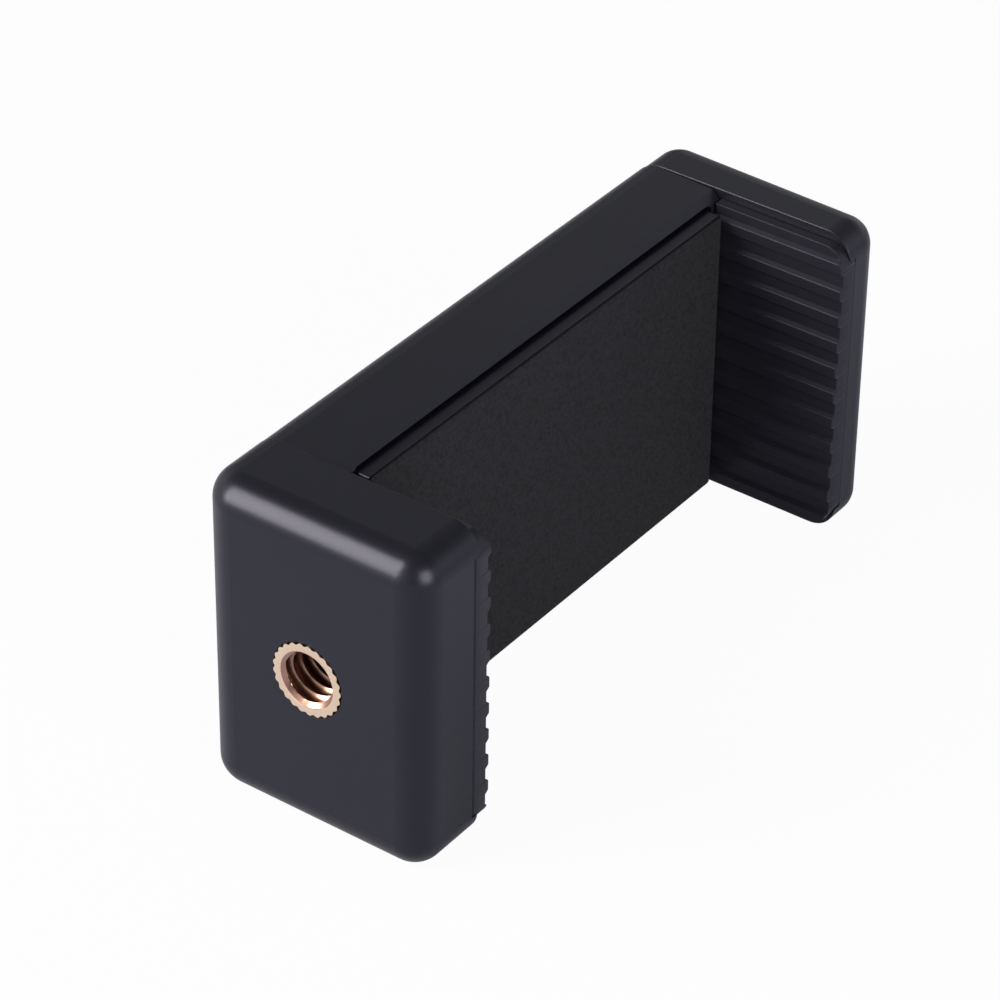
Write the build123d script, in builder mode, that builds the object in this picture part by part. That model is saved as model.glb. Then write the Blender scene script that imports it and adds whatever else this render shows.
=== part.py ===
from build123d import *
from math import ceil, cos, floor, pi, radians, sin, sqrt
import os

# Spring clamp that holds a phone on a tripod thread, closed and lying on its long side.
# X runs from the threaded jaw to the sliding jaw, -Y to the tips of the jaws, Z across their width.
# The origin is the mouth of the tripod thread. All lengths are millimetres.

# Jaws and walls
jaw_width = 35.0
base_jaw_thickness = 8.7
slide_jaw_tip_thickness = 5.6
slide_jaw_back_thickness = 6.3
thread_to_tip = 13.0
foam_to_back = 12.0
jaw_gap = 60.7
slide_back_inset = 0.2
outer_round = 2.9
base_tip_extra_round = 0.2
base_back_extra_round = 0.9
slide_face_less_round = 0.05
base_rim_chamfer = 0.15
slide_rim_chamfer = 0.07
jaw_wall = 1.9
jaw_rib = 1.4
side_rib_z = 8.6
core_back_lip = 0.95
wall_overlap = 0.9
cut_past = 1.0

# Grip pads
pad_thickness = 2.1
pad_recess = 1.0
pad_rim = 0.9
pad_fit = 0.1
pad_corner = 2.4
pad_seam_groove = 0.45
pad_back_gap = 0.2
rib_pitch = 3.0
rib_width = 1.7
rib_top_width = 1.1
rib_height = 0.45
rib_round = 0.2
rib_shift = -0.45
rib_edge = 0.05

# Channel between the jaws
foam_reach = 13.6
channel_end_gap = 0.15
channel_chamfer = 0.85
channel_draft = 0.2
side_wall = 2.4
back_wall = 1.8
bridge_length = 3.25
rail_depth = 1.35
rail_reach = 1.4

# Front plate, its foam and its screws
plate_thickness = 2.65
plate_proud = 1.4
channel_edge = 1.4
plate_gap = 0.45
plate_corner = 0.3
plate_base_gap = 0.25
plate_slide_gap = 0.5
foam_thickness = 0.4
foam_inset = 0.2
foam_corner = 0.3
cover_screw_end = 3.6
cover_screw_length = 6.45
cover_head_radius = 1.9
cover_shank_radius = 0.95
boss_radius = 2.1
boss_into_wall = 0.4
screw_fit = 0.05

# Threaded brass insert
insert_tip_radius = 3.9
insert_root_radius = 3.7
insert_teeth = 25
insert_fit = 0.05
insert_boss_radius = 5.8
insert_floor = 0.5
insert_proud = 0.1
mouth_chamfer = 0.35
thread_minor_radius = 2.55

# Tongue of the sliding jaw
travel = 27.0
tongue_thickness = 2.2
tongue_front_gap = 0.15
tongue_back_gap = 0.2
tongue_side_gap = 0.2
tongue_start_x = 18.0
tongue_corner = 2.0
stop_length = 2.5
stop_spring_gap = 1.8
stop_gap = 0.1
stop_plate_gap = 0.7

# Springs and their anchors
spring_to_cover_screw = 5.4
spring_outer_radius = 2.1
spring_wire = 0.45
spring_groove = 0.15
hook_open_angle = 15.0
spring_tongue_gap = 0.3
spring_end_gap = 0.65
base_anchor_x = 14.5
slide_anchor_x = 36.0
anchor_shoulder_radius = 2.2
anchor_neck_radius = 1.4
anchor_neck_length = 1.2
anchor_head_radius = 2.0
anchor_head_height = 0.9
anchor_head_round = 0.45
anchor_shank_radius = 0.7
anchor_shank_length = 3.2
driver_slot_width = 0.5
driver_slot_depth = 0.4

# Worked out from the sizes above
half_width = jaw_width / 2
tip_y = -thread_to_tip
foam_y = tip_y + foam_reach
back_y = foam_y + foam_to_back
slide_back_y = back_y - slide_back_inset
slide_face_x = base_jaw_thickness + jaw_gap
channel_end_x = slide_face_x - channel_end_gap
bridge_x = channel_end_x - bridge_length
plate_half_width = half_width - channel_edge
plate_front_y = foam_y + foam_thickness
channel_front_y = plate_front_y + plate_proud
plate_back_y = plate_front_y + plate_thickness
cavity_back_y = back_y - back_wall
cavity_half_width = half_width - side_wall
tongue_back_y = cavity_back_y - tongue_back_gap
tongue_front_y = tongue_back_y - tongue_thickness
slot_front_y = tongue_front_y - tongue_front_gap
tongue_half_width = cavity_half_width - tongue_side_gap
pad_proud = pad_thickness - pad_recess
crest_proud = pad_proud + rib_height
pad_back_y = channel_front_y - pad_back_gap
pocket_half_width = half_width - pad_rim
pad_half_width = pocket_half_width - pad_fit
pocket_floor_x = base_jaw_thickness - pad_recess
slide_pocket_x = slide_face_x + pad_recess
insert_end_x = pocket_floor_x - insert_floor
plate_start_x = base_jaw_thickness + crest_proud + plate_base_gap
plate_end_x = slide_face_x - crest_proud - plate_slide_gap
spring_mean_radius = spring_outer_radius - spring_wire / 2
spring_y = tongue_front_y - spring_tongue_gap - spring_outer_radius
anchor_neck_y = spring_y + anchor_neck_length / 2
anchor_head_y = spring_y - anchor_neck_length / 2
core_front_y = tip_y + jaw_wall
core_back_y = pad_back_y - core_back_lip
core_half_width = half_width - side_wall
slide_core_x = slide_face_x + slide_jaw_tip_thickness - jaw_wall
cover_head_depth = cover_head_radius - cover_shank_radius
cover_screw_z = cavity_half_width + boss_into_wall - boss_radius
spring_z = cover_screw_z - spring_to_cover_screw
stop_half_width = spring_z - anchor_shoulder_radius - stop_spring_gap
cover_screw_places = [
    (x, z)
    for x in (plate_start_x + cover_screw_end, plate_end_x - cover_screw_end)
    for z in (-cover_screw_z, cover_screw_z)
]


def box_between(low, high, mode=Mode.ADD):
    """A box given by its lowest and its highest corner."""
    size = [b - a for a, b in zip(low, high)]
    middle = [(a + b) / 2 for a, b in zip(low, high)]
    with Locations(tuple(middle)):
        Box(*size, mode=mode)


def post(x, z, radius, front_y, end_y, mode=Mode.ADD):
    """A round post or hole along Y."""
    with Locations(Plane((x, front_y, z), z_dir=(0, 1, 0))):
        Cylinder(radius, end_y - front_y, align=(Align.CENTER, Align.CENTER, Align.MIN), mode=mode)


def jaw_ribs(low_x, high_x, front_y, end_y):
    """The upright ribs that cross a cored jaw."""
    for z in (-side_rib_z, 0, side_rib_z):
        box_between((low_x, front_y, z - jaw_rib / 2), (high_x, end_y, z + jaw_rib / 2))


def pad_seat(low_x, high_x):
    """What is cut from a jaw for its pad: the pad's outline with room round it, open at the tip."""
    front_y = tip_y - pad_fit
    end_y = pad_back_y + pad_fit
    with BuildPart() as seat:
        with BuildSketch(Plane.YZ.offset(low_x)) as outline:
            with Locations(((front_y + end_y) / 2, 0)):
                Rectangle(end_y - front_y, 2 * pocket_half_width)
            fillet(outline.vertices().group_by(Axis.X)[0], pad_corner + pad_fit)
        extrude(amount=high_x - low_x)
    return seat.part


base_seat = pad_seat(pocket_floor_x, base_jaw_thickness + cut_past)
slide_seat = pad_seat(slide_face_x - cut_past, slide_pocket_x)

# Fixed jaw and channel, one moulding
with BuildPart() as base_frame:
    with BuildSketch(Plane.XY.offset(-half_width)) as jaw_outline:
        with Locations((base_jaw_thickness / 2, (tip_y + back_y) / 2)):
            Rectangle(base_jaw_thickness, back_y - tip_y)
        for end, extra_round in ((0, base_tip_extra_round), (-1, base_back_extra_round)):
            outer_corners = jaw_outline.vertices().group_by(Axis.X)[0].sort_by(Axis.Y)
            fillet(outer_corners[end], outer_round + extra_round)
    extrude(amount=jaw_width)
    side_rims = base_frame.faces().filter_by(Axis.Z).edges()
    fillet(
        side_rims.filter_by_position(Axis.X, 0, base_jaw_thickness, inclusive=(True, False)),
        outer_round,
    )
    chamfer(base_frame.faces().sort_by(Axis.X)[-1].edges(), base_rim_chamfer)

    # The channel's sides lean in a little towards its front, as they leave the mould
    with BuildSketch(Plane.YZ.offset(base_jaw_thickness)) as channel_section:
        with BuildLine():
            Polyline(
                (back_y, -half_width),
                (back_y, half_width),
                (channel_front_y, half_width - channel_draft),
                (channel_front_y, channel_draft - half_width),
                close=True,
            )
        make_face()
        fillet(channel_section.vertices().group_by(Axis.X)[-1], outer_round)
        chamfer(channel_section.vertices().group_by(Axis.X)[0], channel_chamfer)
    extrude(amount=channel_end_x - base_jaw_thickness)

    # Recess for the front plate
    with BuildSketch(Plane.XZ.offset(-plate_back_y)):
        with Locations(((plate_start_x + plate_end_x) / 2, 0)):
            RectangleRounded(
                plate_end_x - plate_start_x + 2 * plate_gap,
                2 * (plate_half_width + plate_gap),
                plate_corner + plate_gap,
            )
    extrude(amount=plate_back_y - channel_front_y + plate_proud, mode=Mode.SUBTRACT)

    # Hollow of the channel, which runs on into the jaw, and the slot for the tongue
    box_between(
        (jaw_wall, plate_back_y, -cavity_half_width),
        (bridge_x, cavity_back_y, cavity_half_width),
        mode=Mode.SUBTRACT,
    )
    box_between(
        (bridge_x - cut_past, slot_front_y, -cavity_half_width),
        (channel_end_x + cut_past, cavity_back_y, cavity_half_width),
        mode=Mode.SUBTRACT,
    )

    # Seat of the grip pad, and the core behind it
    add(base_seat, mode=Mode.SUBTRACT)
    box_between(
        (jaw_wall, core_front_y, -core_half_width),
        (pocket_floor_x + cut_past, core_back_y, core_half_width),
        mode=Mode.SUBTRACT,
    )
    jaw_ribs(jaw_wall - wall_overlap, pocket_floor_x, core_front_y - wall_overlap, core_back_y + wall_overlap)

    # Boss that holds the brass insert
    with BuildSketch(Plane.YZ.offset(jaw_wall - wall_overlap)):
        Circle(insert_boss_radius)
    extrude(amount=pocket_floor_x - jaw_wall + wall_overlap)
    with BuildSketch(Plane.YZ.offset(-cut_past)):
        Circle(insert_tip_radius + insert_fit)
    extrude(amount=cut_past + insert_end_x, mode=Mode.SUBTRACT)

    # Rails that keep the tongue against the back wall
    for side in (-1, 1):
        inner_z = side * (cavity_half_width - rail_reach)
        outer_z = side * (cavity_half_width + wall_overlap)
        box_between(
            (base_jaw_thickness, slot_front_y - rail_depth, min(inner_z, outer_z)),
            (bridge_x + wall_overlap, slot_front_y, max(inner_z, outer_z)),
        )

    # Screw bosses for the front plate, and the posts that hold the springs
    for x, z in cover_screw_places:
        post(x, z, boss_radius, plate_back_y, slot_front_y)
        post(x, z, cover_shank_radius + screw_fit, plate_back_y - cut_past, slot_front_y, mode=Mode.SUBTRACT)
    for z in (-spring_z, spring_z):
        post(base_anchor_x, z, anchor_shoulder_radius, anchor_neck_y, cavity_back_y + wall_overlap)
        post(base_anchor_x, z, anchor_neck_radius, anchor_head_y, anchor_neck_y)
        post(
            base_anchor_x,
            z,
            anchor_shank_radius + screw_fit,
            anchor_head_y,
            anchor_head_y + anchor_shank_length + screw_fit,
            mode=Mode.SUBTRACT,
        )

# Sliding jaw with its tongue, one moulding
with BuildPart() as slide_jaw:
    with BuildSketch(Plane.XY.offset(-half_width)):
        with BuildLine():
            Polyline(
                (slide_face_x, tip_y),
                (slide_face_x + slide_jaw_tip_thickness, tip_y),
                (slide_face_x + slide_jaw_back_thickness, slide_back_y),
                (slide_face_x, slide_back_y),
                close=True,
            )
        make_face()
    extrude(amount=jaw_width)
    fillet(slide_jaw.edges().filter_by(Axis.X), outer_round)
    fillet(slide_jaw.faces().sort_by(Axis.X)[-1].edges(), outer_round - slide_face_less_round)
    chamfer(slide_jaw.faces().sort_by(Axis.X)[0].edges(), slide_rim_chamfer)

    # Seat of the grip pad, and the core behind it
    add(slide_seat, mode=Mode.SUBTRACT)
    box_between(
        (slide_pocket_x - cut_past, core_front_y, -core_half_width),
        (slide_core_x, core_back_y, core_half_width),
        mode=Mode.SUBTRACT,
    )
    jaw_ribs(slide_pocket_x, slide_core_x + wall_overlap, core_front_y - wall_overlap, core_back_y + wall_overlap)

    # Tongue
    with BuildSketch(Plane.XZ.offset(-tongue_back_y)) as tongue_outline:
        with Locations(((tongue_start_x + slide_pocket_x) / 2, 0)):
            Rectangle(slide_pocket_x - tongue_start_x, 2 * tongue_half_width)
        chamfer(tongue_outline.vertices().group_by(Axis.X)[0], tongue_corner)
    extrude(amount=tongue_thickness)

    # Stop that meets the bridge of the channel when the clamp is fully open
    stop_end_x = bridge_x - travel - stop_gap
    box_between(
        (stop_end_x - stop_length, plate_back_y + stop_plate_gap, -stop_half_width),
        (stop_end_x, tongue_front_y + wall_overlap, stop_half_width),
    )

    # Posts that hold the springs
    for z in (-spring_z, spring_z):
        post(slide_anchor_x, z, anchor_shoulder_radius, anchor_neck_y, tongue_back_y)
        post(slide_anchor_x, z, anchor_neck_radius, anchor_head_y, anchor_neck_y)
        post(
            slide_anchor_x,
            z,
            anchor_shank_radius + screw_fit,
            anchor_head_y,
            anchor_head_y + anchor_shank_length + screw_fit,
            mode=Mode.SUBTRACT,
        )


def rib_centres():
    """The places of the ribs across a pad's width, as many as it has room for."""
    room = pad_half_width - rib_width / 2 - rib_edge
    first = ceil((-room - rib_shift) / rib_pitch)
    last = floor((room - rib_shift) / rib_pitch)
    return [rib_shift + i * rib_pitch for i in range(first, last + 1)]


def grip_pad(floor_x, direction):
    """A ribbed rubber pad: its rounded outline, cut to the section across its ribs."""
    valley_x = direction * pad_thickness
    crest_x = direction * (pad_thickness + rib_height)
    section = [(0, pad_half_width), (0, -pad_half_width), (valley_x, -pad_half_width)]
    for z in rib_centres():
        section += [
            (valley_x, z - rib_width / 2),
            (crest_x, z - rib_top_width / 2),
            (crest_x, z + rib_top_width / 2),
            (valley_x, z + rib_width / 2),
        ]
    section.append((valley_x, pad_half_width))
    with BuildPart() as pad:
        with BuildSketch(Plane.YZ.offset(floor_x)) as outline:
            with Locations(((tip_y + pad_back_y) / 2, 0)):
                Rectangle(pad_back_y - tip_y, 2 * pad_half_width)
            fillet(outline.vertices().group_by(Axis.X)[0], pad_corner)
        extrude(amount=crest_x)
        with BuildSketch(Plane((floor_x, tip_y, 0), x_dir=(1, 0, 0), z_dir=(0, -1, 0))) as ribs:
            with BuildLine():
                Polyline(*section, close=True)
            make_face()
            fillet(ribs.vertices().group_by(Axis.X)[-1 if direction > 0 else 0], rib_round)
        extrude(amount=tip_y - pad_back_y, mode=Mode.INTERSECT)
        # A small bevel round its back, which leaves a groove along the seam at the tip
        back_face = pad.faces().sort_by(Axis.X)[0 if direction > 0 else -1]
        chamfer(back_face.edges().sort_by(Axis.Y)[0], pad_seam_groove)
    return pad


base_pad = grip_pad(pocket_floor_x, 1)
slide_pad = grip_pad(slide_pocket_x, -1)

# Plate that closes the channel's front
with BuildPart() as front_plate:
    with BuildSketch(Plane.XZ.offset(-plate_back_y)):
        with Locations(((plate_start_x + plate_end_x) / 2, 0)):
            RectangleRounded(plate_end_x - plate_start_x, 2 * plate_half_width, plate_corner)
    extrude(amount=plate_thickness)
    with Locations(*[Plane((x, plate_front_y, z), z_dir=(0, -1, 0)) for x, z in cover_screw_places]):
        CounterSinkHole(
            radius=cover_shank_radius + screw_fit,
            counter_sink_radius=cover_head_radius + screw_fit,
            depth=plate_thickness,
            counter_sink_angle=90,
        )

# Foam sheet on the plate
with BuildPart() as foam_pad:
    with BuildSketch(Plane.XZ.offset(-plate_front_y)):
        with Locations(((plate_start_x + plate_end_x) / 2, 0)):
            RectangleRounded(
                plate_end_x - plate_start_x - 2 * foam_inset,
                2 * (plate_half_width - foam_inset),
                foam_corner,
            )
    extrude(amount=foam_thickness)

# Brass insert, knurled along its whole length, its mouth a little proud of the jaw
with BuildPart() as thread_insert:
    tooth_angle = 2 * pi / insert_teeth
    with BuildSketch(Plane.YZ.offset(-insert_proud)):
        with BuildLine():
            Polyline(
                *[
                    (radius * cos((i + half) * tooth_angle), radius * sin((i + half) * tooth_angle))
                    for i in range(insert_teeth)
                    for half, radius in ((0, insert_tip_radius), (0.5, insert_root_radius))
                ],
                close=True,
            )
        make_face()
        Circle(thread_minor_radius, mode=Mode.SUBTRACT)
    extrude(amount=insert_proud + insert_end_x)
    mouth = thread_insert.faces().sort_by(Axis.X)[0].edges().filter_by(GeomType.CIRCLE)
    chamfer(mouth, mouth_chamfer)

# Four countersunk screws that hold the front plate
with BuildPart() as cover_screws:
    for x, z in cover_screw_places:
        with BuildSketch(Plane.XY.offset(z)):
            with BuildLine():
                Polyline(
                    (x, plate_front_y),
                    (x + cover_head_radius, plate_front_y),
                    (x + cover_shank_radius, plate_front_y + cover_head_depth),
                    (x + cover_shank_radius, plate_front_y + cover_screw_length - cover_shank_radius),
                    (x, plate_front_y + cover_screw_length),
                    close=True,
                )
            make_face()
        revolve(axis=Axis((x, 0, z), (0, 1, 0)))
        for long_x, long_z in ((cover_head_radius, driver_slot_width), (driver_slot_width, cover_head_radius)):
            box_between(
                (x - long_x / 2, plate_front_y - cut_past, z - long_z / 2),
                (x + long_x / 2, plate_front_y + driver_slot_depth, z + long_z / 2),
                mode=Mode.SUBTRACT,
            )


def anchor_screws(x):
    """The two pan head screws that keep the spring loops on their posts."""
    with BuildPart() as screws:
        for z in (-spring_z, spring_z):
            post(x, z, anchor_head_radius, anchor_head_y - anchor_head_height, anchor_head_y)
            post(x, z, anchor_shank_radius, anchor_head_y, anchor_head_y + anchor_shank_length)
        fillet(screws.edges().group_by(Axis.Y)[0], anchor_head_round)
        for z in (-spring_z, spring_z):
            for long_x, long_z in (
                (anchor_head_radius, driver_slot_width),
                (driver_slot_width, anchor_head_radius),
            ):
                top_y = anchor_head_y - anchor_head_height
                box_between(
                    (x - long_x / 2, top_y - cut_past, z - long_z / 2),
                    (x + long_x / 2, top_y + driver_slot_depth, z + long_z / 2),
                    mode=Mode.SUBTRACT,
                )
    return screws


base_anchor_screws = anchor_screws(base_anchor_x)
slide_anchor_screws = anchor_screws(slide_anchor_x)


def end_loop(x, z, direction):
    """The wire of a spring's end loop: straight from the coil's rim, then round the post."""
    coil_end_x = x + direction * (spring_mean_radius + spring_end_gap)
    far = spring_mean_radius * sqrt(0.5)
    with BuildLine(Plane.XZ.offset(-spring_y)) as route:
        Line((coil_end_x + direction * spring_wire, z + spring_mean_radius), (x, z + spring_mean_radius))
        ThreePointArc(
            (x, z + spring_mean_radius),
            (x - direction * spring_mean_radius, z),
            (x, z - spring_mean_radius),
        )
        ThreePointArc(
            (x, z - spring_mean_radius),
            (x + direction * far, z - far),
            (
                x + direction * spring_mean_radius * cos(radians(hook_open_angle)),
                z - spring_mean_radius * sin(radians(hook_open_angle)),
            ),
        )
    return route.line


def extension_spring(z):
    """A close-wound extension spring, its turns as rings of round wire, with a loop at each end."""
    low_x = base_anchor_x + spring_mean_radius + spring_end_gap
    high_x = slide_anchor_x - spring_mean_radius - spring_end_gap
    turns = round((high_x - low_x) / spring_wire)
    pitch = (high_x - low_x) / turns
    groove_radius = spring_outer_radius - spring_groove
    bore_radius = spring_outer_radius - spring_wire
    start_y = spring_y - groove_radius
    with BuildPart() as spring:
        with BuildSketch(Plane.XY.offset(z)):
            with BuildLine():
                Line((low_x, spring_y - bore_radius), (low_x, start_y))
                for i in range(turns):
                    ThreePointArc(
                        (low_x + i * pitch, start_y),
                        (low_x + (i + 0.5) * pitch, spring_y - spring_outer_radius),
                        (low_x + (i + 1) * pitch, start_y),
                    )
                Line((high_x, start_y), (high_x, spring_y - bore_radius))
                Line((high_x, spring_y - bore_radius), (low_x, spring_y - bore_radius))
            make_face()
        revolve(axis=Axis((0, spring_y, z), (1, 0, 0)))
        for x, direction in ((base_anchor_x, 1), (slide_anchor_x, -1)):
            route = end_loop(x, z, direction)
            with BuildSketch(Plane(route @ 0, z_dir=route % 0)):
                Circle(spring_wire / 2)
            sweep(path=route)
    return spring


spring_upper = extension_spring(spring_z)
spring_lower = extension_spring(-spring_z)

pieces = {
    "base_frame": base_frame,
    "thread_insert": thread_insert,
    "base_pad": base_pad,
    "front_plate": front_plate,
    "foam_pad": foam_pad,
    "cover_screws": cover_screws,
    "base_anchor_screws": base_anchor_screws,
    "slide_jaw": slide_jaw,
    "slide_pad": slide_pad,
    "slide_anchor_screws": slide_anchor_screws,
    "spring_upper": spring_upper,
    "spring_lower": spring_lower,
}
os.makedirs("parts", exist_ok=True)
for name, piece in pieces.items():
    piece.part.label = name
    export_step(piece.part, f"parts/{name}.step")
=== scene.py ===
"""Spring clamp that holds a phone on a tripod: its finishes, its fine detail and plain studio light."""

from math import cos, hypot, pi, radians, sin, sqrt

import bmesh
import bpy
from mathutils import Matrix, Vector, noise


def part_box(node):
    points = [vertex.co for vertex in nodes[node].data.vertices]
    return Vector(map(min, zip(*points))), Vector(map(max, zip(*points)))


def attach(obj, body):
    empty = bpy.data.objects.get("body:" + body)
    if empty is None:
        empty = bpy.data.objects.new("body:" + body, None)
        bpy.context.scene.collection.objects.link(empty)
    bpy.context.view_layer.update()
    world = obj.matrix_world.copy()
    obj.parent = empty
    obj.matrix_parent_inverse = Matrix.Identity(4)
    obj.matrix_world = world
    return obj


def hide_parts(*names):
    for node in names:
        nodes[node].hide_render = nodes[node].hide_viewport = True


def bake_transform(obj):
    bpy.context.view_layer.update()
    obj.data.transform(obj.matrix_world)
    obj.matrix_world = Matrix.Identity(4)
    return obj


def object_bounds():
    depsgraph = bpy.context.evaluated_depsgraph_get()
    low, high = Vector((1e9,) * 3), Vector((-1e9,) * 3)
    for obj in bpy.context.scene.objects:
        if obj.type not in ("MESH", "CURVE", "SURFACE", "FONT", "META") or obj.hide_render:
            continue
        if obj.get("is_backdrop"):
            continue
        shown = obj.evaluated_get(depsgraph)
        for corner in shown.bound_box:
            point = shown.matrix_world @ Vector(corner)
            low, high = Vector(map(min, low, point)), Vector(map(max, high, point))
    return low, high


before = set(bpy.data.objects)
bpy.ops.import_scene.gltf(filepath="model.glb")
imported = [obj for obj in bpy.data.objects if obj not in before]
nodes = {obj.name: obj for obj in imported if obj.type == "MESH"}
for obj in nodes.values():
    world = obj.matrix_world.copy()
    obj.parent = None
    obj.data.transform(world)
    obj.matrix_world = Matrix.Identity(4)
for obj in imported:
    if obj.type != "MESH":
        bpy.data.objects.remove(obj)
low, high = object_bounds()
cad_box = [list(low), list(high)]

MM = 0.001


def linear(hex_colour):
    """A linear colour from an sRGB hex value."""
    parts = [int(hex_colour[i:i + 2], 16) / 255 for i in (1, 3, 5)]
    return tuple(p / 12.92 if p <= 0.04045 else ((p + 0.055) / 1.055) ** 2.4 for p in parts) + (1.0,)


def add_node(tree, kind, settings=None, feeds=None):
    """One shader node. Settings name its options or its sockets, and feeds link other nodes' outputs in."""
    node = tree.nodes.new(kind)
    for name, value in (settings or {}).items():
        if isinstance(name, str) and hasattr(node, name):
            setattr(node, name, value)
        else:
            node.inputs[name].default_value = value
    for name, output in (feeds or {}).items():
        tree.links.new(output, node.inputs[name])
    return node


def start_material(name):
    """An empty material and its node tree."""
    material = bpy.data.materials.new(name)
    material.use_nodes = True
    material.node_tree.nodes.clear()
    return material, material.node_tree


def moulded_abs(name, darker, lighter, grain_mm, roughness):
    """Black ABS, injection moulded against spark-eroded steel: an even satin black with a faint blue cast,
    a grain so fine that it only softens the reflections, and edges that the mould leaves slightly round."""
    material, tree = start_material(name)
    place = add_node(tree, "ShaderNodeTexCoord").outputs["Object"]
    # Slow flow marks, about 9 mm across
    flow = add_node(tree, "ShaderNodeTexNoise", {"Scale": 1 / (9 * MM), "Detail": 2.0}, {"Vector": place})
    # Spark grain, drawn coarse enough to show at eight pixels a millimetre
    grain = add_node(
        tree, "ShaderNodeTexNoise", {"Scale": 1 / (grain_mm * MM), "Detail": 3.0, "Roughness": 0.6},
        {"Vector": place},
    )
    tint = add_node(
        tree, "ShaderNodeMix", {"data_type": "RGBA", 6: linear(darker), 7: linear(lighter)},
        {0: flow.outputs["Fac"]},
    )
    sheen = add_node(
        tree, "ShaderNodeMapRange", {"To Min": roughness - 0.04, "To Max": roughness + 0.06},
        {"Value": grain.outputs["Fac"]},
    )
    edge = add_node(tree, "ShaderNodeBevel", {"samples": 4, "Radius": 0.03 * MM})
    bump = add_node(
        tree, "ShaderNodeBump", {"Strength": 0.35, "Distance": 0.012 * MM},
        {"Height": grain.outputs["Fac"], "Normal": edge.outputs["Normal"]},
    )
    shader = add_node(
        tree, "ShaderNodeBsdfPrincipled",
        {"IOR": 1.54, "Specular IOR Level": 0.27, "Specular Tint": (0.78, 0.79, 1.0, 1.0)},
        {
            "Base Color": tint.outputs[2], "Roughness": sheen.outputs["Result"],
            "Normal": bump.outputs["Normal"],
        },
    )
    add_node(tree, "ShaderNodeOutputMaterial", feeds={"Surface": shader.outputs["BSDF"]})
    return material


def moulded_rubber():
    """Black thermoplastic rubber, moulded: a little duller than the ABS, with a faint bloom."""
    material, tree = start_material("black moulded thermoplastic rubber")
    place = add_node(tree, "ShaderNodeTexCoord").outputs["Object"]
    # Bloom gathers in patches some 4 mm across
    bloom = add_node(tree, "ShaderNodeTexNoise", {"Scale": 1 / (4 * MM), "Detail": 3.0}, {"Vector": place})
    # Mould grain of a quarter millimetre
    grain = add_node(tree, "ShaderNodeTexNoise", {"Scale": 1 / (0.25 * MM), "Detail": 2.0}, {"Vector": place})
    tint = add_node(
        tree, "ShaderNodeMix", {"data_type": "RGBA", 6: linear("#1A1A20"), 7: linear("#1F1F26")},
        {0: bloom.outputs["Fac"]},
    )
    dull = add_node(
        tree, "ShaderNodeMapRange", {"To Min": 0.34, "To Max": 0.44}, {"Value": bloom.outputs["Fac"]},
    )
    bump = add_node(
        tree, "ShaderNodeBump", {"Strength": 0.3, "Distance": 0.01 * MM}, {"Height": grain.outputs["Fac"]},
    )
    shader = add_node(
        tree, "ShaderNodeBsdfPrincipled",
        {"IOR": 1.5, "Specular IOR Level": 0.22, "Specular Tint": (0.8, 0.8, 1.0, 1.0)},
        {
            "Base Color": tint.outputs[2], "Roughness": dull.outputs["Result"],
            "Normal": bump.outputs["Normal"],
        },
    )
    add_node(tree, "ShaderNodeOutputMaterial", feeds={"Surface": shader.outputs["BSDF"]})
    return material


def closed_cell_foam():
    """Black EVA foam, sliced from a block: its cut cells, a few tenths of a millimetre wide, make it matt and
    pitted. Its speckle is painted shade: the colour darkens where the pits sink."""
    material, tree = start_material("black closed cell EVA foam")
    place = add_node(tree, "ShaderNodeTexCoord").outputs["Object"]
    # Cut cells, 0.35 mm wide
    cells = add_node(
        tree, "ShaderNodeTexVoronoi", {"feature": "F1", "Scale": 1 / (0.35 * MM)}, {"Vector": place},
    )
    # Clumps of larger cells, 0.8 mm
    clumps = add_node(
        tree, "ShaderNodeTexNoise", {"Scale": 1 / (0.8 * MM), "Detail": 4.0, "Roughness": 0.7},
        {"Vector": place},
    )
    speckle = add_node(
        tree, "ShaderNodeMath", {"operation": "MULTIPLY"},
        {0: cells.outputs["Distance"], 1: clumps.outputs["Fac"]},
    )
    # Painted shade: the colour darkens where the bump below sinks the cells' pits
    pit_shade = add_node(
        tree, "ShaderNodeMapRange", {"From Min": 0.02, "From Max": 0.42}, {"Value": speckle.outputs["Value"]},
    )
    tint = add_node(
        tree, "ShaderNodeMix", {"data_type": "RGBA", 6: linear("#202025"), 7: linear("#111115")},
        {0: pit_shade.outputs["Result"]},
    )
    pits = add_node(
        tree, "ShaderNodeBump", {"Strength": 0.4, "Distance": 0.04 * MM, "invert": True},
        {"Height": speckle.outputs["Value"]},
    )
    shader = add_node(
        tree, "ShaderNodeBsdfPrincipled",
        {
            "IOR": 1.45, "Specular IOR Level": 0.2, "Roughness": 0.8,
            "Sheen Weight": 0.03, "Sheen Roughness": 0.5,
        },
        {"Base Color": tint.outputs[2], "Normal": pits.outputs["Normal"]},
    )
    add_node(tree, "ShaderNodeOutputMaterial", feeds={"Surface": shader.outputs["BSDF"]})
    return material


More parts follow.
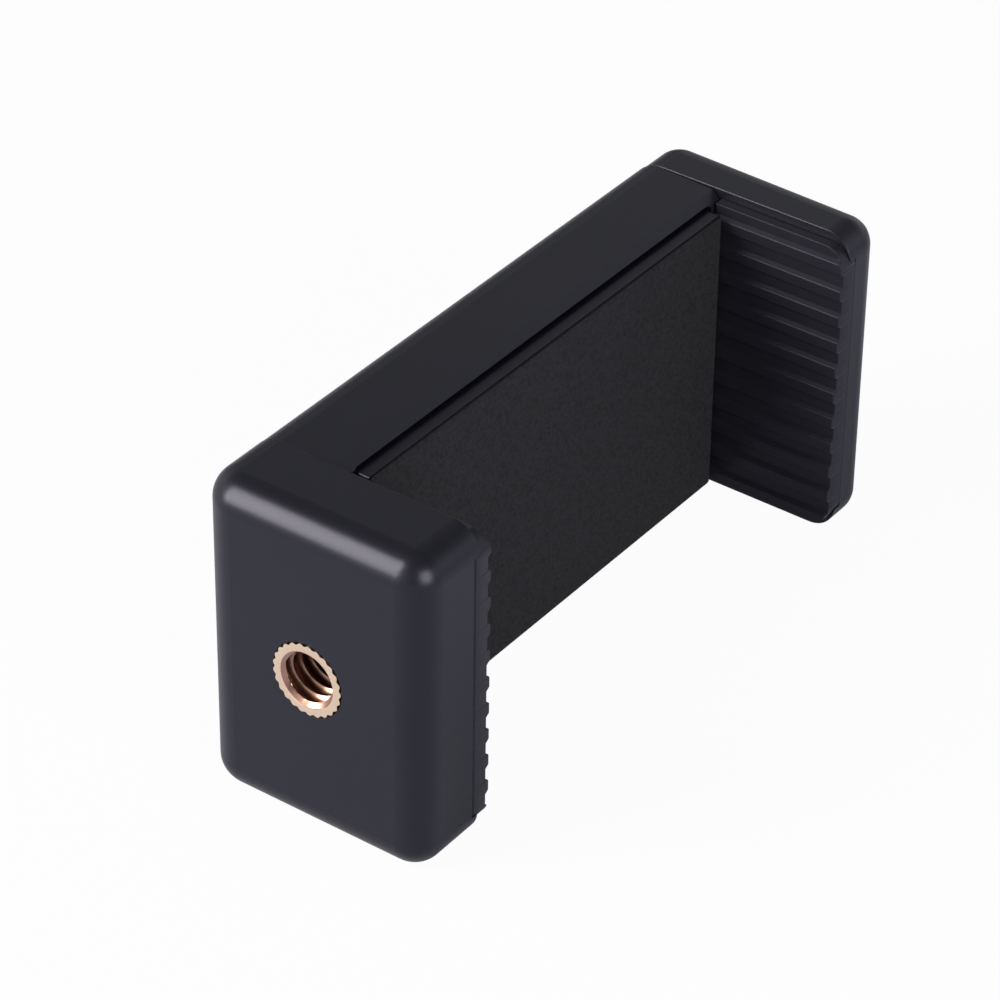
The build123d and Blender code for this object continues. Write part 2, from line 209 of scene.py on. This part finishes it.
def turned_brass():
    """Free-cutting brass, turned and then knurled: pale rosy gold, with the tool's rings on its face."""
    material, tree = start_material("turned brass")
    place = add_node(tree, "ShaderNodeTexCoord").outputs["Object"]
    # The tool's rings round the thread's axis, drawn 0.94 mm apart so that they show. A wave texture
    # turns by 20 radians a unit
    rings = add_node(
        tree, "ShaderNodeTexWave",
        {
            "wave_type": "RINGS", "rings_direction": "X", "Scale": 2 * pi / (0.94 * MM) / 20,
            "Distortion": 0.4, "Detail": 1.0,
        },
        {"Vector": place},
    )
    # Handling has dulled it in patches of about 2 mm
    patches = add_node(tree, "ShaderNodeTexNoise", {"Scale": 1 / (2 * MM), "Detail": 3.0}, {"Vector": place})
    tint = add_node(
        tree, "ShaderNodeMix", {"data_type": "RGBA", 6: linear("#F3D9B8"), 7: linear("#F7DEC4")},
        {0: patches.outputs["Fac"]},
    )
    polish = add_node(
        tree, "ShaderNodeMapRange", {"To Min": 0.2, "To Max": 0.34}, {"Value": patches.outputs["Fac"]},
    )
    bump = add_node(
        tree, "ShaderNodeBump", {"Strength": 0.15, "Distance": 0.004 * MM}, {"Height": rings.outputs["Fac"]},
    )
    shader = add_node(
        tree, "ShaderNodeBsdfPrincipled", {"Metallic": 1.0},
        {
            "Base Color": tint.outputs[2], "Roughness": polish.outputs["Result"],
            "Normal": bump.outputs["Normal"],
        },
    )
    add_node(tree, "ShaderNodeOutputMaterial", feeds={"Surface": shader.outputs["BSDF"]})
    return material


def tapped_brass_with_painted_shade():
    """The same brass inside the thread, cut by a tap, stained dark brown and darkened further as painted
    shade for the hollow bore, under a thin glossy film of its oil."""
    material, tree = start_material("tapped brass, stained, darkened as painted shade, oiled")
    place = add_node(tree, "ShaderNodeTexCoord").outputs["Object"]
    # Stains of about 1.5 mm
    stains = add_node(tree, "ShaderNodeTexNoise", {"Scale": 1 / (1.5 * MM), "Detail": 3.0}, {"Vector": place})
    # Painted shade: these browns, much darker than the turned face, stand for the hollow bore's shade as well
    # as its stain
    tint = add_node(
        tree, "ShaderNodeMix", {"data_type": "RGBA", 6: linear("#946D5C"), 7: linear("#AE8470")},
        {0: stains.outputs["Fac"]},
    )
    polish = add_node(
        tree, "ShaderNodeMapRange", {"To Min": 0.22, "To Max": 0.3}, {"Value": stains.outputs["Fac"]},
    )
    shader = add_node(
        tree, "ShaderNodeBsdfPrincipled",
        {"Metallic": 1.0, "Coat Weight": 0.6, "Coat Roughness": 0.1, "Coat IOR": 1.6},
        {"Base Color": tint.outputs[2], "Roughness": polish.outputs["Result"]},
    )
    add_node(tree, "ShaderNodeOutputMaterial", feeds={"Surface": shader.outputs["BSDF"]})
    return material


def plated_steel(name, darker, lighter, roughness, streak_mm):
    """Steel as drawn or plated: a cool grey metal whose coat is faintly streaked."""
    material, tree = start_material(name)
    place = add_node(tree, "ShaderNodeTexCoord").outputs["Object"]
    streaks = add_node(
        tree, "ShaderNodeTexNoise", {"Scale": 1 / (streak_mm * MM), "Detail": 3.0}, {"Vector": place},
    )
    tint = add_node(
        tree, "ShaderNodeMix", {"data_type": "RGBA", 6: linear(darker), 7: linear(lighter)},
        {0: streaks.outputs["Fac"]},
    )
    polish = add_node(
        tree, "ShaderNodeMapRange", {"To Min": roughness, "To Max": roughness + 0.12},
        {"Value": streaks.outputs["Fac"]},
    )
    shader = add_node(
        tree, "ShaderNodeBsdfPrincipled", {"Metallic": 1.0},
        {"Base Color": tint.outputs[2], "Roughness": polish.outputs["Result"]},
    )
    add_node(tree, "ShaderNodeOutputMaterial", feeds={"Surface": shader.outputs["BSDF"]})
    return material


shell_abs = moulded_abs("black moulded ABS", "#131419", "#16171D", grain_mm=0.3, roughness=0.32)
# The plate's copy is darker than the shell's: painted shade for the plate's place deep in the channel between
# the jaws
plate_abs_painted_shade = moulded_abs("black moulded ABS, smoother, darkened as painted shade", "#0F0F15", "#121219", grain_mm=0.2, roughness=0.3)
rubber = moulded_rubber()
foam = closed_cell_foam()
brass = turned_brass()
bore_brass_stained_and_shaded = tapped_brass_with_painted_shade()
zinc_steel = plated_steel("zinc plated steel", "#A9ACB0", "#C3C5C8", roughness=0.26, streak_mm=0.8)
spring_steel = plated_steel("bright spring steel", "#8E9094", "#ABADB0", roughness=0.22, streak_mm=0.4)

carried_over = {
    "base_frame": shell_abs, "slide_jaw": shell_abs, "front_plate": plate_abs_painted_shade,
    "cover_screws": zinc_steel, "base_anchor_screws": zinc_steel, "slide_anchor_screws": zinc_steel,
}
for name, material in carried_over.items():
    nodes[name].data.materials.clear()
    nodes[name].data.materials.append(material)


def add_piece(name, points, faces, material, smooth_angle):
    """A mesh piece in metres from points in millimetres: doubled points joined, normals outward."""
    mesh = bpy.data.meshes.new(name)
    mesh.from_pydata([Vector(p) * MM for p in points], [], faces)
    joined = bmesh.new()
    joined.from_mesh(mesh)
    bmesh.ops.remove_doubles(joined, verts=joined.verts, dist=0.001 * MM)
    bmesh.ops.dissolve_degenerate(joined, edges=joined.edges, dist=0.0005 * MM)
    bmesh.ops.recalc_face_normals(joined, faces=joined.faces)
    joined.to_mesh(mesh)
    joined.free()
    mesh.shade_smooth()
    mesh.set_sharp_from_angle(angle=radians(smooth_angle))
    mesh.materials.append(material)
    piece = bpy.data.objects.new(name, mesh)
    bpy.context.scene.collection.objects.link(piece)
    return piece


# Brass insert, with its knurl and its 1/4 inch thread of 20 turns an inch
INSERT_TIP = 3.9
INSERT_ROOT = 3.7
INSERT_TEETH = 25
COLUMNS_A_TOOTH = 12
TOOTH_STEEPNESS = 1.18
TOOTH_ROUNDNESS = 0.35
THREAD_PITCH = 25.4 / 20
THREAD_MINOR = 2.55
THREAD_MAJOR = 3.175
# Shares of the pitch
THREAD_CREST = 0.22
THREAD_FLANK = 0.29
ROWS_A_TURN = 18
MOUTH_RADIUS = 3.03
MOUTH_DEPTH = 0.3


def knurl_radius(angle):
    """The outline of the straight knurl: pointed teeth with slightly flattened tips and rounded roots."""
    phase = (angle / (2 * pi) * INSERT_TEETH) % 1
    height = 1 - abs(2 * phase - 1)
    height = min(1, TOOTH_STEEPNESS * height)
    rounded = height * height * (3 - 2 * height)
    height = rounded * TOOTH_ROUNDNESS + height * (1 - TOOTH_ROUNDNESS)
    return INSERT_ROOT + (INSERT_TIP - INSERT_ROOT) * height


def thread_radius(turn):
    """The thread's radius at a share of its pitch: 60 degree flanks, a narrow crest and a wide root."""
    phase = turn % 1
    if phase < THREAD_CREST:
        share = 0
    elif phase < THREAD_CREST + THREAD_FLANK:
        share = (phase - THREAD_CREST) / THREAD_FLANK
    elif phase < 1 - THREAD_FLANK:
        share = 1
    else:
        share = (1 - phase) / THREAD_FLANK
    return THREAD_MINOR + (THREAD_MAJOR - THREAD_MINOR) * share


def brass_insert():
    """Rows of the outline's section run round the axis. On the threaded wall they follow the helix."""
    (front, _, _), (back, _, _) = [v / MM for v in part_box("thread_insert")]
    columns = INSERT_TEETH * COLUMNS_A_TOOTH
    # A turn more at each end, where the helix runs out of the wall
    turns = int((back - front) / THREAD_PITCH) + 3
    points, faces = [], []
    for c in range(columns + 1):
        spin = c / columns
        angle = 2 * pi * spin
        outer = knurl_radius(angle)
        section = [(front, MOUTH_RADIUS)]
        for row in range(ROWS_A_TURN * turns + 1):
            turn = min(max(row / ROWS_A_TURN - 1 - spin, 0), (back - front) / THREAD_PITCH)
            depth = turn * THREAD_PITCH
            mouth = MOUTH_RADIUS - (MOUTH_RADIUS - THREAD_MINOR) * min(1, depth / MOUTH_DEPTH)
            radius = max(thread_radius(turn + spin), mouth)
            section.append((front + depth, min(radius, MOUTH_RADIUS + depth)))
        for share in (1, 0.75, 0.5, 0.25, 0):
            section.append((front + share * (back - front), outer))
        for share in (0.5, 1):
            section.append((front, outer * (1 - share) + MOUTH_RADIUS * share))
        for x, radius in section:
            points.append((x, radius * cos(angle), radius * sin(angle)))
        size = len(section)
        if c < columns:
            for i in range(size - 1):
                a = c * size + i
                faces.append((a, a + 1, a + size + 1, a + size))
    piece = add_piece("brass_insert", points, faces, brass, smooth_angle=38)
    # The bore's faces take the darker brass: its stain and the hollow's painted shade
    piece.data.materials.append(bore_brass_stained_and_shaded)
    for face in piece.data.polygons:
        centre = face.center / MM
        out = hypot(centre.y, centre.z)
        behind_face = centre.x > front + 0.01
        if out < MOUTH_RADIUS or out < THREAD_MAJOR and behind_face:
            face.material_index = 1
    return piece


def sheet_outline(y, z, y_low, y_high, half_z, tip_corner):
    """How far a point lies inside an outline with round corners at y_low, and the nearest point on it."""
    corner_z = half_z - tip_corner
    if y < y_low + tip_corner and abs(z) > corner_z:
        middle_y, middle_z = y_low + tip_corner, corner_z if z > 0 else -corner_z
        away = hypot(y - middle_y, z - middle_z)
        if away > 1e-9:
            out = tip_corner / away
            return tip_corner - away, (middle_y + (y - middle_y) * out, middle_z + (z - middle_z) * out)
    gaps = (y - y_low, y_high - y, z + half_z, half_z - z)
    least = min(gaps)
    edges = ((y_low, z), (y_high, z), (y, -half_z), (y, half_z))
    return least, edges[gaps.index(least)]


# Rubber pads: ribs across their faces, round corners and edges
RIB_PITCH = 3.0
RIB_WIDTH = 1.7
RIB_TOP = 1.1
RIB_HEIGHT = 0.45
RIB_SHIFT = -0.45
RIB_SOFT = 0.07
RIBS_EACH_SIDE = 8
PAD_CORNER = 2.4
PAD_EDGE = 0.08
PAD_ROWS = 48
# Columns crowd at the edge of a rib's top and at its foot, and rows at the pad's round ends
TOP_STEPS = (-0.25, -0.13, -0.06, -0.04, -0.02, 0, 0.02, 0.04, 0.06, 0.11, 0.19)
FOOT_STEPS = (-0.05, 0, 0.05, 0.25, 0.45)
END_STEPS = (0, 0.025, 0.05, 0.08, 0.18, 0.4)
CORNER_STEP = 0.1
LEAST_STEP = 0.012


def rib_relief(z, half_z):
    """How far the pad stands above its valleys at z: a flat top with soft edges, then straight flanks."""
    nearest = RIB_SHIFT + RIB_PITCH * round((z - RIB_SHIFT) / RIB_PITCH)
    if abs(nearest) + RIB_WIDTH / 2 > half_z:
        return 0
    flank = RIB_HEIGHT * (RIB_WIDTH / 2 - abs(z - nearest)) / ((RIB_WIDTH - RIB_TOP) / 2)
    near_edge = max(0, RIB_SOFT - abs(RIB_HEIGHT - flank)) / RIB_SOFT
    return max(0, min(RIB_HEIGHT, flank) - near_edge ** 2 * RIB_SOFT / 4)


def pad_columns(half_z):
    """Places across a pad: at every step of its ribs, and close together towards its round corners."""
    steps = [0] + [RIB_TOP / 2 + step for step in TOP_STEPS] + [RIB_WIDTH / 2 + step for step in FOOT_STEPS]
    places = set()
    for i in range(-RIBS_EACH_SIDE, RIBS_EACH_SIDE + 1):
        rib = RIB_SHIFT + RIB_PITCH * i
        for step in steps:
            places |= {round(rib + step, 4), round(rib - step, 4)}
    for i in range(int(PAD_CORNER / CORNER_STEP) + 1):
        places |= {round(half_z - CORNER_STEP * i, 4), round(CORNER_STEP * i - half_z, 4)}
    for gap in END_STEPS:
        places |= {half_z - gap, gap - half_z}
    kept = []
    for z in sorted(places):
        if abs(z) <= half_z + 1e-6 and (not kept or z - kept[-1] > LEAST_STEP):
            kept.append(z)
    return [-half_z] + kept[1:-1] + [half_z]


def round_edge(inside, radius):
    """How far a rounded edge of this radius drops at a distance inside the outline."""
    return radius - sqrt(max(0, radius ** 2 - max(0, radius - inside) ** 2))


def sheet_faces(index, along, across, rings):
    """A grid's front (ring 0), its back (ring 1), and the walls that the rings in between make at its rim."""
    faces = []
    for i in range(along):
        for j in range(across):
            a, b, c, d = (i, j), (i, j + 1), (i + 1, j + 1), (i + 1, j)
            faces.append([index[(0, *k)] for k in (a, b, c, d)])
            faces.append([index[(1, *k)] for k in (d, c, b, a)])
    rim = [(0, j) for j in range(across)] + [(i, across) for i in range(along)]
    rim += [(along, j) for j in range(across, 0, -1)] + [(i, 0) for i in range(along, 0, -1)]
    for a, b in zip(rim, rim[1:] + rim[:1]):
        for upper, lower in zip(rings, rings[1:]):
            faces.append([index[(upper, *a)], index[(lower, *a)], index[(lower, *b)], index[(upper, *b)]])
    return faces


def ribbed_pad(name, node, direction, seam):
    """A rubber pad moulded with soft-edged ribs, as a surface over its outline with a skirt and a flat back.
    The seam is the width of the groove that its back leaves at the jaw's tip."""
    low, high = [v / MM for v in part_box(node)]
    half_z = (high.z - low.z) / 2
    floor_x = low.x if direction > 0 else high.x
    valley = high.x - low.x - RIB_HEIGHT
    columns = pad_columns(half_z)
    length = high.y - low.y
    between = length - 2 * END_STEPS[-1]
    rows = list(END_STEPS) + [END_STEPS[-1] + between * i / PAD_ROWS for i in range(1, PAD_ROWS)]
    rows += [length - gap for gap in reversed(END_STEPS)]
    along, across = len(rows) - 1, len(columns) - 1
    points, index = [], {}
    for i, row in enumerate(rows):
        y = low.y + row
        for j, z in enumerate(columns):
            inside, edge = sheet_outline(y, z, low.y, high.y, half_z, PAD_CORNER)
            inside = max(0, inside)
            y_here, z_here = (y, z) if inside > 0 else edge
            height = valley + rib_relief(z_here, half_z) - round_edge(inside, PAD_EDGE)
            index[(0, i, j)] = len(points)
            points.append((floor_x + direction * height, y_here, z_here))
            index[(1, i, j)] = len(points)
            points.append((floor_x, max(y_here, low.y + seam), z_here))
            if i in (0, along) or j in (0, across):
                index[(2, i, j)] = len(points)
                points.append((floor_x + direction * seam, y_here, z_here))
    faces = sheet_faces(index, along, across, rings=(0, 2, 1))
    return add_piece(name, points, faces, rubber, smooth_angle=40)


# Foam sheet: cut edges and corners slightly round, and a face that swells and dips over about 9 mm
FOAM_EDGE = 0.15
FOAM_CORNER = 0.3
FOAM_SWELL = 0.03
FOAM_SWELL_WIDTH = 9
FOAM_COLUMNS = 150
FOAM_ROWS = 90


def foam_sheet():
    """Foam stuck to the plate: its cut edges are slightly rounded and its face swells and dips a little."""
    low, high = [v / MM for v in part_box("foam_pad")]
    middle_x = (low.x + high.x) / 2
    half_x = (high.x - low.x) / 2
    half_z = (high.z - low.z) / 2
    points, index = [], {}

    def spread(share, half):
        # Lines crowd towards the edges
        return half * (sin(pi * (share - 0.5)) * 0.3 + (2 * share - 1) * 0.7)

    for i in range(FOAM_COLUMNS + 1):
        for j in range(FOAM_ROWS + 1):
            x, z = spread(i / FOAM_COLUMNS, half_x), spread(j / FOAM_ROWS, half_z)
            over_x = max(0, abs(x) - (half_x - FOAM_CORNER))
            over_z = max(0, abs(z) - (half_z - FOAM_CORNER))
            if over_x and over_z:
                away = hypot(over_x, over_z)
                inside = FOAM_CORNER - away
                if inside < 0:
                    x = (half_x - FOAM_CORNER + over_x * FOAM_CORNER / away) * (1 if x > 0 else -1)
                    z = (half_z - FOAM_CORNER + over_z * FOAM_CORNER / away) * (1 if z > 0 else -1)
                    inside = 0
            else:
                inside = min(half_x - abs(x), half_z - abs(z))
            wave = 1 + noise.noise(Vector((x / FOAM_SWELL_WIDTH, z / FOAM_SWELL_WIDTH, 0.5)))
            swell = FOAM_SWELL * wave * min(1, inside)
            index[(0, i, j)] = len(points)
            points.append((middle_x + x, low.y + round_edge(inside, FOAM_EDGE) + swell, z))
            index[(1, i, j)] = len(points)
            points.append((middle_x + x, high.y, z))
    faces = sheet_faces(index, FOAM_COLUMNS, FOAM_ROWS, rings=(0, 1))
    return add_piece("foam_sheet", points, faces, foam, smooth_angle=50)


# Extension springs: a close-wound coil between two hooks
SPRING_WIRE = 0.45
SPRING_PITCH = SPRING_WIRE * 1.02
SPRING_LEAD = 0.9
HOOK_OPENING = 30
HOOK_POINTS = 22
COIL_POINTS = 24
WIRE_SIDES = 8
LEAD_SHARES = (0.35, 0.7)


def coil_spring(name, node):
    """One length of wire: a hook round the fixed post, the coil, and a hook round the sliding post."""
    low, high = [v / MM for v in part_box(node)]
    mean = (high.z - low.z) / 2 - SPRING_WIRE / 2
    centre_y, centre_z = (low.y + high.y) / 2, (low.z + high.z) / 2
    start_post, end_post = low.x + mean + SPRING_WIRE / 2, high.x - mean - SPRING_WIRE / 2
    coil_start, coil_end = start_post + mean + SPRING_LEAD, end_post - mean - SPRING_LEAD
    turns = int((coil_end - coil_start) / SPRING_PITCH)

    def hook(post_x, first_angle):
        # Most of a ring round a post, open towards the coil
        ring = []
        for i in range(HOOK_POINTS):
            turn = radians(first_angle + (360 - HOOK_OPENING) * i / (HOOK_POINTS - 1))
            ring.append(Vector((post_x + mean * cos(turn), centre_y, centre_z + mean * sin(turn))))
        return ring

    route = hook(start_post, HOOK_OPENING / 2)
    first = Vector((coil_start, centre_y, centre_z - mean))
    route += [route[-1].lerp(first, share) for share in LEAD_SHARES]
    steps = turns * COIL_POINTS
    for i in range(steps + 1):
        turn = 2 * pi * turns * i / steps
        x = coil_start + (coil_end - coil_start) * i / steps
        route.append(Vector((x, centre_y + mean * sin(turn), centre_z - mean * cos(turn))))
    last_hook = hook(end_post, 180 + HOOK_OPENING / 2)
    route += [route[-1].lerp(last_hook[0], share) for share in LEAD_SHARES]
    route += last_hook
    points, faces = [], []
    side = Vector((0, 1, 0))
    for i, place in enumerate(route):
        ahead = (route[min(i + 1, len(route) - 1)] - route[max(i - 1, 0)]).normalized()
        side = (side - ahead * side.dot(ahead)).normalized()
        other = ahead.cross(side)
        for k in range(WIRE_SIDES):
            turn = 2 * pi * k / WIRE_SIDES
            points.append(place + (side * cos(turn) + other * sin(turn)) * SPRING_WIRE / 2)
        if i:
            for k in range(WIRE_SIDES):
                a, b = (i - 1) * WIRE_SIDES + k, (i - 1) * WIRE_SIDES + (k + 1) % WIRE_SIDES
                faces.append((a, b, b + WIRE_SIDES, a + WIRE_SIDES))
    faces.append(tuple(range(WIRE_SIDES)))
    faces.append(tuple(range(len(points) - WIRE_SIDES, len(points))))
    piece = add_piece(name, points, faces, spring_steel, smooth_angle=60)
    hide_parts(node)
    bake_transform(piece)


insert = brass_insert()
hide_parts("thread_insert")
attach(insert, "base")

base_grip = ribbed_pad("base_grip", "base_pad", direction=1, seam=0.35)
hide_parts("base_pad")
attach(base_grip, "base")

slide_grip = ribbed_pad("slide_grip", "slide_pad", direction=-1, seam=0.05)
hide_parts("slide_pad")
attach(slide_grip, "slider")

sheet = foam_sheet()
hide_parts("foam_pad")
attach(sheet, "base")

coil_spring("upper_spring", "spring_upper")
coil_spring("lower_spring", "spring_lower")

# Pale table that the clamp stands on: its reach in metres, and the share of plain white in what the camera
# and the reflections see of it
TABLE_REACH = 3
TABLE_SEEN = 0.96
TABLE_MIRRORED = 0.18


def matt_paper():
    """Matt white paper, whose fibres only just show."""
    material, tree = start_material("matt white paper")
    place = add_node(tree, "ShaderNodeTexCoord").outputs["Object"]
    # Paper fibres, 0.6 mm
    fibre = add_node(tree, "ShaderNodeTexNoise", {"Scale": 1 / (0.6 * MM), "Detail": 2.0}, {"Vector": place})
    white = add_node(
        tree, "ShaderNodeMix", {"data_type": "RGBA", 6: linear("#B4B5C1"), 7: linear("#BCBDC9")},
        {0: fibre.outputs["Fac"]},
    )
    paper = add_node(tree, "ShaderNodeBsdfDiffuse", feeds={"Color": white.outputs[2]})
    glow = add_node(tree, "ShaderNodeEmission", {"Color": (1, 1, 1, 1), "Strength": 1.0})
    path = add_node(tree, "ShaderNodeLightPath")
    shown = add_node(
        tree, "ShaderNodeMath", {"operation": "MULTIPLY", 1: TABLE_SEEN}, {0: path.outputs["Is Camera Ray"]},
    )
    mirrored = add_node(
        tree, "ShaderNodeMath", {"operation": "MAXIMUM"},
        {0: path.outputs["Is Glossy Ray"], 1: path.outputs["Is Transmission Ray"]},
    )
    share = add_node(
        tree, "ShaderNodeMath", {"operation": "MULTIPLY_ADD", 1: TABLE_MIRRORED},
        {0: mirrored.outputs["Value"], 2: shown.outputs["Value"]},
    )
    mixed = add_node(
        tree, "ShaderNodeMixShader",
        feeds={0: share.outputs["Value"], 1: paper.outputs["BSDF"], 2: glow.outputs["Emission"]},
    )
    add_node(tree, "ShaderNodeOutputMaterial", feeds={"Surface": mixed.outputs["Shader"]})
    return material


floor_z = cad_box[0][2]
floor_mesh = bpy.data.meshes.new("pale_table")
floor_corners = [(x * TABLE_REACH, y * TABLE_REACH, floor_z) for x, y in ((-1, -1), (1, -1), (1, 1), (-1, 1))]
floor_mesh.from_pydata(floor_corners, [], [(0, 1, 2, 3)])
floor_mesh.materials.append(matt_paper())
floor = bpy.data.objects.new("pale_table", floor_mesh)
bpy.context.scene.collection.objects.link(floor)
floor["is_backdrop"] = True

# Studio room. A fade gives where a dim place starts and is whole: for the ceiling by a ray's height, and for
# the wall and the corner by how nearly a ray points at them
CEILING_LEVEL = 0.15
CEILING_FADE = (0.4, 0.6)
WALL_LEVEL = 0.2
FAR_WALL = (0.67, 0.74, 0.0)
FAR_WALL_FADE = (0.84, 0.95)
NEAR_CORNER = (-0.77, -0.64, 0.0)
NEAR_CORNER_FADE = (0.78, 0.92)
EVEN_COLOUR = "#D8E0FF"
EVEN_LEVEL = 0.35


def studio_room():
    """White where it is seen, and in reflections too, but for a dimmer ceiling, far wall beyond the clamp's
    back and near corner in front of its tip. The light that it gives is an even grey."""
    world = bpy.data.worlds.new("studio")
    world.use_nodes = True
    tree = world.node_tree
    tree.nodes.clear()
    path = add_node(tree, "ShaderNodeLightPath")
    direction = add_node(tree, "ShaderNodeTexCoord").outputs["Generated"]
    parts = add_node(tree, "ShaderNodeSeparateXYZ", feeds={"Vector": direction})
    height = add_node(
        tree, "ShaderNodeMapRange", {"From Min": CEILING_FADE[0], "From Max": CEILING_FADE[1]},
        {"Value": parts.outputs["Z"]},
    )
    ceiling = add_node(
        tree, "ShaderNodeMath", {"operation": "MULTIPLY"},
        {0: height.outputs["Result"], 1: path.outputs["Is Glossy Ray"]},
    )
    dim_places = []
    for way, fade in ((FAR_WALL, FAR_WALL_FADE), (NEAR_CORNER, NEAR_CORNER_FADE)):
        toward = add_node(tree, "ShaderNodeVectorMath", {"operation": "DOT_PRODUCT", 1: way}, {0: direction})
        dim_places.append(add_node(
            tree, "ShaderNodeMapRange", {"From Min": fade[0], "From Max": fade[1]},
            {"Value": toward.outputs["Value"]},
        ))
    dim = add_node(
        tree, "ShaderNodeMath", {"operation": "MAXIMUM"},
        {0: dim_places[0].outputs["Result"], 1: dim_places[1].outputs["Result"]},
    )
    shade = add_node(
        tree, "ShaderNodeMath", {"operation": "MULTIPLY"},
        {0: dim.outputs["Value"], 1: path.outputs["Is Glossy Ray"]},
    )
    white_room = add_node(tree, "ShaderNodeBackground", {"Color": (1, 1, 1, 1), "Strength": 1.0})
    dim_ceiling = add_node(tree, "ShaderNodeBackground", {"Color": (1, 1, 1, 1), "Strength": CEILING_LEVEL})
    dim_wall = add_node(tree, "ShaderNodeBackground", {"Color": (1, 1, 1, 1), "Strength": WALL_LEVEL})
    even_light = add_node(
        tree, "ShaderNodeBackground", {"Color": linear(EVEN_COLOUR), "Strength": EVEN_LEVEL},
    )
    walls = add_node(
        tree, "ShaderNodeMixShader",
        feeds={
            0: shade.outputs["Value"], 1: white_room.outputs["Background"],
            2: dim_wall.outputs["Background"],
        },
    )
    room = add_node(
        tree, "ShaderNodeMixShader",
        feeds={0: ceiling.outputs["Value"], 1: walls.outputs["Shader"], 2: dim_ceiling.outputs["Background"]},
    )
    shown = add_node(
        tree, "ShaderNodeMath", {"operation": "MAXIMUM"},
        {0: path.outputs["Is Camera Ray"], 1: path.outputs["Is Glossy Ray"]},
    )
    seen = add_node(
        tree, "ShaderNodeMath", {"operation": "MAXIMUM"},
        {0: shown.outputs["Value"], 1: path.outputs["Is Transmission Ray"]},
    )
    both = add_node(
        tree, "ShaderNodeMixShader",
        feeds={0: seen.outputs["Value"], 1: even_light.outputs["Background"], 2: room.outputs["Shader"]},
    )
    add_node(tree, "ShaderNodeOutputWorld", feeds={"Surface": both.outputs["Shader"]})
    return world


bpy.context.scene.world = studio_room()
middle = (Vector(cad_box[0]) + Vector(cad_box[1])) / 2


def softbox(name, place, width, height, power):
    """A warm white diffuser, aimed at the clamp's middle. Its sizes are in metres and its power in watts."""
    lamp = bpy.data.lights.new(name, "AREA")
    lamp.shape = "RECTANGLE"
    lamp.size = width
    lamp.size_y = height
    lamp.energy = power
    lamp.color = linear("#FFF8EE")[:3]
    box = bpy.data.objects.new(name, lamp)
    box.location = place
    box.rotation_euler = (middle - Vector(place)).to_track_quat("-Z", "Y").to_euler()
    bpy.context.scene.collection.objects.link(box)


softbox("left_softbox", (-0.478, 0.395, 0.345), width=0.32, height=0.65, power=10.4)
softbox("front_softbox", (-0.171, -0.644, 0.225), width=0.40, height=0.46, power=5.0)

# Camera at the photograph's place, found from the clamp's own outline
CAMERA_PLACE = Vector((-249.163, -200.842, 245.984)) * MM
CAMERA_AZIMUTH = -54.216
CAMERA_ELEVATION = 35.236
CAMERA_ROLL = 0.798
FOCAL_LENGTH = 160.09
SENSOR_WIDTH = 36

turn, rise, roll = (radians(v) for v in (CAMERA_AZIMUTH, CAMERA_ELEVATION, CAMERA_ROLL))
look = Vector((-sin(turn) * cos(rise), cos(turn) * cos(rise), -sin(rise)))
right = look.cross(Vector((0, 0, 1))).normalized()
up = right.cross(look)
right, up = cos(roll) * right + sin(roll) * up, cos(roll) * up - sin(roll) * right
camera = bpy.data.objects.new("camera", bpy.data.cameras.new("camera"))
camera.data.lens = FOCAL_LENGTH
camera.data.sensor_width = SENSOR_WIDTH
camera.data.clip_start = 0.01
camera.matrix_world = Matrix.Translation(CAMERA_PLACE) @ Matrix((right, up, -look)).transposed().to_4x4()
bpy.context.scene.collection.objects.link(camera)
bpy.context.scene.camera = camera
bpy.context.scene.view_settings.view_transform = "Standard"

low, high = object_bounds()
